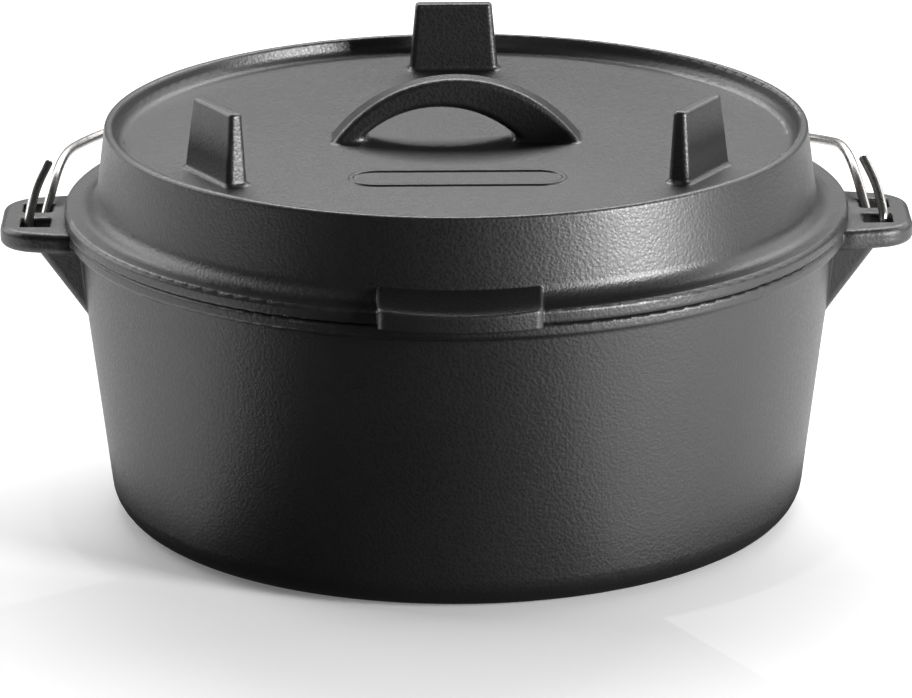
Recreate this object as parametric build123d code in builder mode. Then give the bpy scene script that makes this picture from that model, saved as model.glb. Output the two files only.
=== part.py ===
from build123d import *
import os
from math import cos, pi, radians, sin, sqrt, tan

# Footed-lid cast iron dutch oven, in millimetres.
# Frame: Z is up with the pot's flat base on Z = 0 and the pot's axis on the Z axis.
# The ears lie on +X and -X, and the lid's lifting tab points to -Y, the front.

# ---- pot ---------------------------------------------------------------------------
RIM_Z = 110.0            # top face of the pot rim
RIM_R = 142.3            # rim band, outer radius
BAND_H = 4.9             # height of the rim band
WALL_TOP_R = 138.9       # wall radius just under the band
DRAFT = 6.98             # wall draft, degrees
BASE_CORNER = 13.0       # outer rounding between wall and base
WALL_T = 5.0             # wall thickness
BASE_T = 5.6             # base thickness

# ---- ears --------------------------------------------------------------------------
EAR_T = 7.5              # ear plate thickness
EAR_TIP = 166.1          # furthest reach from the pot's axis
EAR_ROOT_HALF = 27.8     # half width at the root
EAR_TIP_HALF = 22.4      # half width near the tip
EAR_CORNER = 15.0        # rounded outer corners
EAR_EDGE = 2.4           # rounding of the plate's edges and of the bar between its holes
HOLE_IN, HOLE_OUT = 147.7, 158.8     # bail holes, nearest and furthest reach
HOLE_NEAR, HOLE_FAR = 5.0, 15.1      # bail holes, from the ear's middle line
HOLE_FLARE = 1.2         # rounding of a hole's far edge
GUSSET_DROP = 33.5       # how far the gusset reaches below the rim

# ---- lid ---------------------------------------------------------------------------
FLANGE_R = 143.0
FLANGE_T = 5.2
LID_WALL_R = 131.7       # wall radius just above the flange
LID_TOP_Z = 144.9        # top of the lid's raised rim
LID_TOP_R = 127.9        # outer radius of the raised rim
LIP_W = 3.0              # width of the raised rim
LID_FLOOR_Z = 138.5      # flat top of the lid, inside the raised rim
LID_T = 5.0              # lid floor thickness
LID_WALL_T = 4.8
SPIGOT_R = 133.4         # ring under the flange that centres the lid in the mouth
SPIGOT_H = 3.0

# ---- lid legs, handle, tab, badge --------------------------------------------------
LEG_R0, LEG_R1 = 99.4, 98.4          # middle of a leg from the axis, foot and top
LEG_W0, LEG_W1 = 33.8, 28.8
LEG_T0, LEG_T1 = 8.6, 5.0
LEG_H = 25.7
HANDLE_ARC = 56.0        # outer arch radius
HANDLE_TOP_Z = 161.4
GAP_ARC = 41.8           # finger opening's arch radius
GAP_X = -5.9             # the opening sits a little to the left
GAP_TOP_Z = 151.1
HANDLE_TOP_W = 10.0      # handle width at its crown
HANDLE_FOOT_W = 18.0     # handle width at the lid floor
TAB_W = 57.0
TAB_REACH = 150.4        # furthest forward, at the middle of its bowed front
TAB_BOW = 84.0           # plan radius of that front
TAB_FRONT_Z = 116.1      # top of the tab at its front edge
TAB_BACK_Z = 119.9       # top of the tab where it meets the lid wall
BADGE_L, BADGE_W, BADGE_Y = 77.5, 20.0, -55.0
BADGE_LINE = 1.6         # width of the raised outline

# ---- bail --------------------------------------------------------------------------
WIRE = 3.5               # wire diameter
PIVOT_Z = RIM_Z - EAR_T / 2
HOOK_R = 7.2             # wire centre line around the web between the two holes
LEAN = 42.0              # backward lean of the hook legs at rest, degrees
HOOP_R = 150.0           # bail hoop, centre line
HOOP_Z = 122.2           # height of the hoop where it leaves the shoulders
CROWN_Z = 114.0          # height of the hoop at the back
DROP = {1: 5, -1: 1}     # the hand-bent hoop drops sooner on the +X side
HOOP_START = 19.0        # where the hoop begins, degrees from the X axis
FREE_X, REAR_X = 155.7, 152.4        # reach of the hook's two legs at the pivot's height
TIP_X, TIP_REACH = 149.0, 22.5       # free end: reach, and distance up along the leg
REAR_SLOPE = -0.215      # the rear leg leans in: change in reach per mm up
KNEE_REACH = 15.0        # straight part of the rear leg


def corner(sketch, r, z):
    """The outline's corner nearest to radius r and height z."""
    return sketch.vertices().sort_by_distance((r, z, 0))[0]


# ---------------------------------------------------------------- ears
def ear_holes(side):
    """Two holes with flared mouths; the bar between them is what the bail hooks round."""
    half = EAR_T / 2
    top, bottom = PIVOT_Z + half, PIVOT_Z - half
    length = HOLE_OUT - HOLE_IN
    with BuildPart() as holes:
        with BuildSketch(Plane.YZ.offset(HOLE_IN if side > 0 else -HOLE_OUT)):
            for s in (-1, 1):
                near, far = s * HOLE_NEAR, s * HOLE_FAR
                n, f = s * EAR_EDGE, s * HOLE_FLARE
                with BuildLine():
                    RadiusArc((near - n, bottom), (near, bottom + EAR_EDGE), -s * EAR_EDGE)
                    Line((near, bottom + EAR_EDGE), (near, top - EAR_EDGE))
                    RadiusArc((near, top - EAR_EDGE), (near - n, top), -s * EAR_EDGE)
                    Polyline((near - n, top), (near - n, top + 4), (far + f, top + 4), (far + f, top))
                    RadiusArc((far + f, top), (far, top - HOLE_FLARE), -s * HOLE_FLARE)
                    Line((far, top - HOLE_FLARE), (far, bottom + HOLE_FLARE))
                    RadiusArc((far, bottom + HOLE_FLARE), (far + f, bottom), -s * HOLE_FLARE)
                    Polyline((far + f, bottom), (far + f, bottom - 1),
                             (near - n, bottom - 1), (near - n, bottom))
                make_face()
        extrude(amount=length)
        # rounded ends in plan
        with BuildSketch(Plane.XY.offset(bottom - 2)):
            with Locations([(side * (HOLE_IN + length / 2), s * (HOLE_NEAR + HOLE_FAR) / 2) for s in (-1, 1)]):
                RectangleRounded(length, HOLE_FAR - HOLE_NEAR + 2 * EAR_EDGE, 2.5)
        extrude(amount=EAR_T + 8, mode=Mode.INTERSECT)
    return holes.part


def ear(side):
    """Plate and gusset of one ear; side is 1 for +X and -1 for -X."""
    with BuildPart() as piece:
        with BuildSketch(Plane.XY.offset(RIM_Z - EAR_T)) as plate:
            with BuildLine():
                Polyline(
                    (side * 120, -EAR_ROOT_HALF), (side * 143, -EAR_ROOT_HALF),
                    (side * EAR_TIP, -EAR_TIP_HALF), (side * EAR_TIP, EAR_TIP_HALF),
                    (side * 143, EAR_ROOT_HALF), (side * 120, EAR_ROOT_HALF), close=True,
                )
            make_face()
            fillet(plate.vertices().group_by(Axis.X)[-1 if side > 0 else 0], EAR_CORNER)
            fillet([corner(plate, side * 143, s * EAR_ROOT_HALF) for s in (-1, 1)], 14.0)
        extrude(amount=EAR_T)
        outer = piece.edges().filter_by(lambda e: abs(e.center().X) > 121)
        fillet(outer.group_by(Axis.Z)[-1] + outer.group_by(Axis.Z)[0], EAR_EDGE)
        with BuildSketch(Plane.XY.offset(RIM_Z - EAR_T + 1.0)):
            with Locations((side * 133.5, 0)):
                RectangleRounded(36.4, 2 * EAR_ROOT_HALF - 4.0, 3.0)
        with BuildSketch(Plane.XY.offset(RIM_Z - GUSSET_DROP)):
            with Locations((side * 125.0, 0)):
                RectangleRounded(19.0, 36.0, 3.0)
        loft()
        add(ear_holes(side), mode=Mode.SUBTRACT)
        # the gusset stops short of the holes, so the hooks can swing under the bar
        with BuildSketch(Plane.XY.offset(PIVOT_Z - EAR_T / 2)):
            with Locations((side * (HOLE_IN + HOLE_OUT) / 2, 0)):
                Rectangle(HOLE_OUT - HOLE_IN, 2 * (HOLE_FAR + EAR_EDGE))
        extrude(amount=-14, mode=Mode.SUBTRACT)
    return piece.part


# ---------------------------------------------------------------- pot
draft = tan(radians(DRAFT))
wall_base_r = WALL_TOP_R - (RIM_Z - BAND_H) * draft
mouth_r = WALL_TOP_R + BAND_H * draft - WALL_T
well_r = mouth_r - (RIM_Z - BASE_T) * draft

with BuildPart() as body:
    with BuildSketch(Plane.XZ) as pot_outline:
        with BuildLine():
            Polyline(
                (0, 0), (wall_base_r, 0), (WALL_TOP_R, RIM_Z - BAND_H), (RIM_R, RIM_Z - BAND_H),
                (RIM_R, RIM_Z), (0, RIM_Z), close=True,
            )
        make_face()
        fillet(corner(pot_outline, wall_base_r, 0), BASE_CORNER)
        fillet(corner(pot_outline, WALL_TOP_R, RIM_Z - BAND_H), 1.8)
        fillet(corner(pot_outline, RIM_R, RIM_Z - BAND_H), 1.4)
        fillet(corner(pot_outline, RIM_R, RIM_Z), 1.3)
    revolve(axis=Axis.Z)

with BuildPart() as well:
    with BuildSketch(Plane.XZ) as well_outline:
        with BuildLine():
            Polyline(
                (0, BASE_T), (well_r, BASE_T), (mouth_r, RIM_Z), (mouth_r + 1.2, RIM_Z + 10),
                (0, RIM_Z + 10), close=True,
            )
        make_face()
        fillet(corner(well_outline, well_r, BASE_T), 12.0)
    revolve(axis=Axis.Z)

with BuildPart() as pot:
    add(body.part + ear(1) + ear(-1) - well.part)
pot.part.label = "pot"

# ---------------------------------------------------------------- lid
flange_top = RIM_Z + FLANGE_T
lean_in = (LID_WALL_R - LID_TOP_R) / (LID_TOP_Z - flange_top)
bowl_r = LID_WALL_R - LID_WALL_T            # inside radius at the flange
bowl_top_r = bowl_r - (LID_FLOOR_Z - LID_T - flange_top) * lean_in

with BuildPart() as lid:
    with BuildSketch(Plane.XZ) as lid_outline:
        with BuildLine():
            Polyline(
                (0, LID_FLOOR_Z), (LID_TOP_R - LIP_W - 1.2, LID_FLOOR_Z),
                (LID_TOP_R - LIP_W, LID_TOP_Z), (LID_TOP_R, LID_TOP_Z), (LID_WALL_R, flange_top),
                (FLANGE_R, flange_top), (FLANGE_R, RIM_Z), (SPIGOT_R, RIM_Z),
                (SPIGOT_R - 0.5, RIM_Z - SPIGOT_H), (bowl_r + 0.6, RIM_Z - SPIGOT_H),
                (bowl_top_r, LID_FLOOR_Z - LID_T), (0, LID_FLOOR_Z - LID_T), close=True,
            )
        make_face()
        fillet(corner(lid_outline, LID_TOP_R - LIP_W - 1.2, LID_FLOOR_Z), 4.0)
        fillet(corner(lid_outline, LID_TOP_R - LIP_W, LID_TOP_Z), 1.2)
        fillet(corner(lid_outline, LID_TOP_R, LID_TOP_Z), 1.2)
        fillet(corner(lid_outline, LID_WALL_R, flange_top), 6.5)
        fillet(corner(lid_outline, FLANGE_R, flange_top), 1.4)
        fillet(corner(lid_outline, FLANGE_R, RIM_Z), 1.3)
        fillet(corner(lid_outline, SPIGOT_R - 0.5, RIM_Z - SPIGOT_H), 0.8)
        fillet(corner(lid_outline, bowl_r + 0.6, RIM_Z - SPIGOT_H), 0.8)
        fillet(corner(lid_outline, bowl_top_r, LID_FLOOR_Z - LID_T), 8.0)
    revolve(axis=Axis.Z)

    # lifting tab: runs out over the flange and overhangs it at the front
    with BuildPart() as tab:
        with BuildSketch(Plane.YZ):
            Polygon(
                (-TAB_REACH, RIM_Z), (-118, RIM_Z + 1), (-118, TAB_BACK_Z + 2.4),
                (-131, TAB_BACK_Z), (-TAB_REACH, TAB_FRONT_Z), align=None,
            )
        extrude(amount=TAB_W / 2, both=True)
        with BuildSketch(Plane.XY.offset(RIM_Z - 1)) as tab_plan:
            with Locations((0, -TAB_REACH + TAB_BOW)):
                Circle(TAB_BOW)
            with Locations((0, -TAB_REACH + 25)):
                Rectangle(TAB_W, 50, mode=Mode.INTERSECT)
            fillet(tab_plan.vertices().sort_by(Axis.Y)[:2], 3.5)
        extrude(amount=20, mode=Mode.INTERSECT)
        fillet(tab.faces().sort_by(Axis.Z)[-1].edges().filter_by(lambda e: e.center().Y < -119), 1.1)
    add(tab.part)

    # three tapered legs, one at the back
    for angle in (90, 210, 330):
        place = Plane((0, 0, 0)).rotated((0, 0, angle - 90))
        base = Plane(origin=place.from_local_coords((0, LEG_R0, LID_FLOOR_Z - 1)),
                     x_dir=place.x_dir, z_dir=(0, 0, 1))
        with BuildPart() as leg:
            with BuildSketch(base):
                RectangleRounded(LEG_W0, LEG_T0, 2.4)
            with BuildSketch(base.offset(LEG_H + 1)):
                with Locations((0, LEG_R1 - LEG_R0)):
                    RectangleRounded(LEG_W1, LEG_T1, 1.8)
            loft()
            fillet(leg.faces().sort_by(Axis.Z)[-1].edges(), 1.2)
        add(leg.part)

    # arched handle: an arch profile run front to back, sides drafted towards the crown
    with BuildPart() as arch:
        floor = LID_FLOOR_Z - 2.0
        with BuildSketch(Plane.XZ):
            with Locations((0, HANDLE_TOP_Z - HANDLE_ARC)):
                Circle(HANDLE_ARC)
            with Locations((0, floor - 60)):
                Rectangle(300, 120, mode=Mode.SUBTRACT)
            with Locations((GAP_X, GAP_TOP_Z - GAP_ARC)):
                Circle(GAP_ARC, mode=Mode.SUBTRACT)
        extrude(amount=20, both=True)
        with BuildSketch(Plane.YZ):
            Polygon(
                (-HANDLE_FOOT_W / 2, LID_FLOOR_Z - 2), (HANDLE_FOOT_W / 2, LID_FLOOR_Z - 2),
                (HANDLE_TOP_W / 2, HANDLE_TOP_Z), (HANDLE_TOP_W / 2, HANDLE_TOP_Z + 5),
                (-HANDLE_TOP_W / 2, HANDLE_TOP_Z + 5), (-HANDLE_TOP_W / 2, HANDLE_TOP_Z),
                align=None,
            )
        extrude(amount=80, both=True, mode=Mode.INTERSECT)
        rims = arch.edges().filter_by(lambda e: e.center().Z > LID_FLOOR_Z and abs(e.center().Y) > 2)
        fillet(rims, 2.2)
    add(arch.part)

    # soft cast corners where legs and handle stand on the floor
    feet = lid.edges().filter_by_position(Axis.Z, LID_FLOOR_Z - 0.01, LID_FLOOR_Z + 0.01)
    feet = feet.filter_by(lambda e: (e.center() - Vector(0, 0, LID_FLOOR_Z)).length < LEG_R0 + 8 and e.length < 60)
    fillet(feet, 1.8)

    # blank raised outline in front of the handle
    with BuildSketch(Plane.XY.offset(LID_FLOOR_Z - 0.5)):
        with Locations((0, BADGE_Y)):
            SlotOverall(BADGE_L, BADGE_W)
            SlotOverall(BADGE_L - 2 * BADGE_LINE, BADGE_W - 2 * BADGE_LINE, mode=Mode.SUBTRACT)
    extrude(amount=1.1)
lid.part.label = "lid"

# ---------------------------------------------------------------- bail
s, c = sin(radians(LEAN)), cos(radians(LEAN))


def hook(side, x, across, along):
    """A point of the hook: across the pivot and along the leaning leg, at reach x."""
    return Vector(side * x, across * c + along * s, PIVOT_Z - across * s + along * c)


def bail_half(side):
    """Centre line of one half of the bail, from the hook's free end to the crown."""
    tip = hook(side, TIP_X, -HOOK_R, TIP_REACH)
    curl = hook(side, 152.9, -HOOK_R, 13.0)
    front = hook(side, FREE_X, -HOOK_R, 0)
    rear = hook(side, REAR_X, HOOK_R, 0)
    knee = hook(side, REAR_X + REAR_SLOPE * KNEE_REACH, HOOK_R, KNEE_REACH)
    bow = []
    for n in range(1, 8):
        a = n * pi / 8
        reach = (FREE_X + REAR_X) / 2 + (FREE_X - REAR_X) / 2 * cos(a) + 0.6 * sin(a)
        bow.append(hook(side, reach, -HOOK_R * cos(a), -HOOK_R * sin(a)))
    hoop = []
    for n in range(7):
        t = n / 6
        a = radians(HOOP_START + t * (90 - HOOP_START))
        z = CROWN_Z + (HOOP_Z - CROWN_Z) * (1 - t) ** DROP[side]
        hoop.append(Vector(side * HOOP_R * cos(a), HOOP_R * sin(a), z))
    down = (hook(side, FREE_X + 0.15, -HOOK_R, -1) - front).normalized()
    up = (knee - rear).normalized()
    a = radians(HOOP_START)
    fall = (hoop[1] - hoop[0]).normalized().Z
    run = Vector(-side * sin(a), cos(a), fall).normalized()
    across = Vector(-side, 0, 0)
    return [
        Edge.make_spline([tip, curl, front], tangents=[(curl - tip).normalized(), down]),
        Edge.make_spline([front] + bow + [rear], tangents=[down, up]),
        Edge.make_line(rear, knee),
        Edge.make_spline([knee, hoop[0]], tangents=[up, run]),
        Edge.make_spline(hoop, tangents=[run, across]),
    ]


with BuildPart() as bail:
    right = bail_half(1)
    left = bail_half(-1)
    path = Wire(right + list(reversed(left)))
    end = Plane(origin=path @ 0, z_dir=path % 0)
    with BuildSketch(end):
        Circle(WIRE / 2)
    sweep(path=path)
    fillet(bail.edges().sort_by(Axis.Z)[-2:], 0.9)
bail.part.label = "bail"

os.makedirs("parts", exist_ok=True)
export_step(pot.part, "parts/pot.step")
export_step(lid.part, "parts/lid.step")
export_step(bail.part, "parts/bail.step")
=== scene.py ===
import math

import bpy
from mathutils import Matrix, Vector

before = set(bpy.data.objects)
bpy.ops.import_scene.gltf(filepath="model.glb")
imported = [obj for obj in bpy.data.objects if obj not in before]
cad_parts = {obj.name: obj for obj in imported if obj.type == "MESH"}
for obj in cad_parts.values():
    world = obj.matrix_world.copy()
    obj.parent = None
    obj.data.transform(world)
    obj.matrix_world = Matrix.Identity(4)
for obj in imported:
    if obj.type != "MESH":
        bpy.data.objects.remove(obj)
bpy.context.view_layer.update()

# ---------------------------------------------------------------- measures, metres
FLANGE_Z = 0.1135           # height of the lid flange's widest ring
EYE = (-0.018, -2.108, FLANGE_Z + 0.6046)
EYE_PITCH = 0.3036          # radians below level
EYE_ROLL = -0.0034          # radians
LENS_MM = 236.8
SIDE_SHIFT = -0.001         # of the frame width
DARK_SIDE = (-54, 28)       # where the room is dark, degrees from -Y towards +X
INNER_R = 0.15              # the iron mirrors no floor nearer than this,
NEAR_R = 1.0                # and on the right none further off
FLOOR_R = 14.0
SHEET_Z = 0.0003            # height of the mirrored sheets over the floor
PEBBLE_WEIGHT = 0.9         # pebbles against fine grain, in the iron's bump


# ---------------------------------------------------------------- node helpers
def new_material(name):
    """A material with one principled shader."""
    mat = bpy.data.materials.new(name)
    mat.use_nodes = True
    nt = mat.node_tree
    nt.nodes.clear()
    out = nt.nodes.new("ShaderNodeOutputMaterial")
    bsdf = nt.nodes.new("ShaderNodeBsdfPrincipled")
    nt.links.new(bsdf.outputs["BSDF"], out.inputs["Surface"])
    return mat, nt, bsdf


def node(nt, kind, **values):
    """A node with its settings and input values given by name."""
    made = nt.nodes.new(kind)
    for key, value in values.items():
        if hasattr(made, key):
            setattr(made, key, value)
        else:
            made.inputs[key].default_value = value
    return made


def ramp(nt, source, low, high, a=0.0, b=1.0):
    """Map low..high of the source to a..b."""
    made = nt.nodes.new("ShaderNodeMapRange")
    for socket, value in (("From Min", low), ("From Max", high), ("To Min", a), ("To Max", b)):
        made.inputs[socket].default_value = value
    nt.links.new(source, made.inputs["Value"])
    return made.outputs["Result"]


# ---------------------------------------------------------------- cast iron
def cast_iron(name, grain, rough):
    """Seasoned sand-cast iron: near black, satin, pebbled, with soft highlights on its edges."""
    mat, nt, bsdf = new_material(name)
    coord = nt.nodes.new("ShaderNodeTexCoord")
    fine = node(nt, "ShaderNodeTexNoise", Scale=1300.0, Detail=2.0, Roughness=0.55)
    pebble = node(nt, "ShaderNodeTexVoronoi", Scale=780.0)
    wide = node(nt, "ShaderNodeTexNoise", Scale=22.0, Detail=4.0, Roughness=0.55)
    for tex in (fine, pebble, wide):
        nt.links.new(coord.outputs["Object"], tex.inputs["Vector"])
    add = node(nt, "ShaderNodeMath", operation="MULTIPLY_ADD")
    nt.links.new(pebble.outputs["Distance"], add.inputs[0])
    add.inputs[1].default_value = PEBBLE_WEIGHT
    nt.links.new(fine.outputs["Fac"], add.inputs[2])
    bump = node(nt, "ShaderNodeBump", Strength=grain, Distance=0.00035)
    nt.links.new(add.outputs["Value"], bump.inputs["Height"])
    soft = node(nt, "ShaderNodeBevel", samples=12, Radius=0.0011)
    nt.links.new(soft.outputs["Normal"], bump.inputs["Normal"])
    nt.links.new(bump.outputs["Normal"], bsdf.inputs["Normal"])
    tone = node(nt, "ShaderNodeMix", data_type="RGBA")
    tone.inputs[6].default_value = (0.0035, 0.0035, 0.0038, 1)
    tone.inputs[7].default_value = (0.0080, 0.0080, 0.0085, 1)
    nt.links.new(ramp(nt, wide.outputs["Fac"], 0.3, 0.7), tone.inputs[0])
    nt.links.new(tone.outputs[2], bsdf.inputs["Base Color"])
    spread = ramp(nt, pebble.outputs["Distance"], 0.0, 0.6, rough - 0.04, rough + 0.06)
    nt.links.new(spread, bsdf.inputs["Roughness"])
    bsdf.inputs["Metallic"].default_value = 0.0
    bsdf.inputs["IOR"].default_value = 1.8
    return mat


def steel_wire():
    """Drawn steel wire with a faint haze."""
    mat, nt, bsdf = new_material("bail_steel")
    coord = nt.nodes.new("ShaderNodeTexCoord")
    haze = node(nt, "ShaderNodeTexNoise", Scale=900.0, Detail=2.0, Roughness=0.6)
    nt.links.new(coord.outputs["Object"], haze.inputs["Vector"])
    bsdf.inputs["Base Color"].default_value = (0.50, 0.485, 0.47, 1)
    bsdf.inputs["Metallic"].default_value = 1.0
    nt.links.new(ramp(nt, haze.outputs["Fac"], 0.3, 0.7, 0.26, 0.36), bsdf.inputs["Roughness"])
    bump = node(nt, "ShaderNodeBump", Strength=0.05, Distance=0.0001)
    nt.links.new(haze.outputs["Fac"], bump.inputs["Height"])
    nt.links.new(bump.outputs["Normal"], bsdf.inputs["Normal"])
    return mat


def dress(name, mat):
    """Give a CAD node its material."""
    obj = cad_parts[name]
    obj.data.materials.clear()
    obj.data.materials.append(mat)


dress("pot", cast_iron("pot_iron", 0.24, 0.40))
dress("lid", cast_iron("lid_iron", 0.22, 0.39))
dress("bail", steel_wire())


# ---------------------------------------------------------------- floor and light
def studio_white():
    """Matt white paper, with a little glow so that it stays clean away from the shadow."""
    mat, nt, bsdf = new_material("studio_white")
    bsdf.inputs["Base Color"].default_value = (0.97, 0.97, 0.97, 1)
    bsdf.inputs["Roughness"].default_value = 0.7
    bsdf.inputs["Specular IOR Level"].default_value = 0.2
    bsdf.inputs["Emission Color"].default_value = (1, 1, 1, 1)
    bsdf.inputs["Emission Strength"].default_value = 0.13
    return mat


def floor_piece(name, verts, faces, height, mat):
    """A flat stage piece at a height."""
    mesh = bpy.data.meshes.new(name)
    mesh.from_pydata(verts, [], faces)
    mesh.materials.append(mat)
    obj = bpy.data.objects.new(name, mesh)
    obj.location.z = height
    bpy.context.scene.collection.objects.link(obj)
    return obj


def sector(start, end, inner, outer, steps=96):
    """A flat sector of the floor between two bearings, in degrees from -Y towards +X."""
    verts = []
    for k in range(steps + 1):
        a = math.radians(start + (end - start) * k / steps)
        verts += [(r * math.sin(a), -r * math.cos(a), 0) for r in (inner, outer)]
    return verts, [(2 * k, 2 * k + 1, 2 * k + 3, 2 * k + 2) for k in range(steps)]


# What the camera sees of the floor takes the shadow and isn't mirrored in the iron. The
# room is dark on the camera's side and far off to the right, so the iron mirrors only the
# other parts, from sheets just above the floor that the camera doesn't see.
paper = studio_white()
ground = floor_piece("studio_floor", *sector(-180, 180, 0.0, FLOOR_R), 0.0, paper)
ground.visible_glossy = False
ground.visible_diffuse = False
for name, part in (
    ("mirrored_left", sector(-180, DARK_SIDE[0], INNER_R, FLOOR_R)),
    ("mirrored_right", sector(DARK_SIDE[1], 180, INNER_R, NEAR_R)),
):
    sheet = floor_piece(name, *part, SHEET_Z, paper)
    sheet.visible_camera = False
    sheet.visible_shadow = False


def softbox(name, place, target, size_x, size_y, watts):
    """A rectangular area light at a place, aimed at a target."""
    data = bpy.data.lights.new(name, "AREA")
    data.shape = "RECTANGLE"
    data.size, data.size_y = size_x, size_y
    data.energy = watts
    obj = bpy.data.objects.new(name, data)
    aim = Vector(target) - Vector(place)
    obj.location = place
    obj.rotation_euler = aim.to_track_quat("-Z", "Y").to_euler()
    bpy.context.scene.collection.objects.link(obj)


softbox("top_back", (0.1, 1.45, 1.65), (0, 0, 0.1), 2.2, 0.9, 46)
softbox("right_key", (1.74, -1.18, 0.50), (0, 0, 0.12), 0.5, 0.8, 60)
softbox("right_side", (2.0, 1.1, 1.3), (0.2, 0, 0), 2.0, 1.8, 26)
softbox("left_side", (-2.0, 1.1, 1.3), (-0.2, 0, 0), 2.0, 1.8, 38)

world = bpy.data.worlds.new("studio_air")
world.use_nodes = True
world.node_tree.nodes["Background"].inputs["Color"].default_value = (1, 1, 1, 1)
world.node_tree.nodes["Background"].inputs["Strength"].default_value = 0.04
bpy.context.scene.world = world
bpy.context.scene.view_settings.view_transform = "Standard"

# ---------------------------------------------------------------- camera
cam_data = bpy.data.cameras.new("view")
cam_data.lens = LENS_MM
cam_data.sensor_width = 36.0
cam_data.shift_x = SIDE_SHIFT
cam_data.clip_start, cam_data.clip_end = 0.1, 20.0
cam = bpy.data.objects.new("view", cam_data)
cam.matrix_world = (
    Matrix.Translation(Vector(EYE))
    @ Matrix.Rotation(math.atan2(EYE[0], -EYE[1]), 4, "Z")
    @ Matrix.Rotation(math.pi / 2 - EYE_PITCH, 4, "X")
    @ Matrix.Rotation(EYE_ROLL, 4, "Z")
)
bpy.context.scene.collection.objects.link(cam)
bpy.context.scene.camera = cam
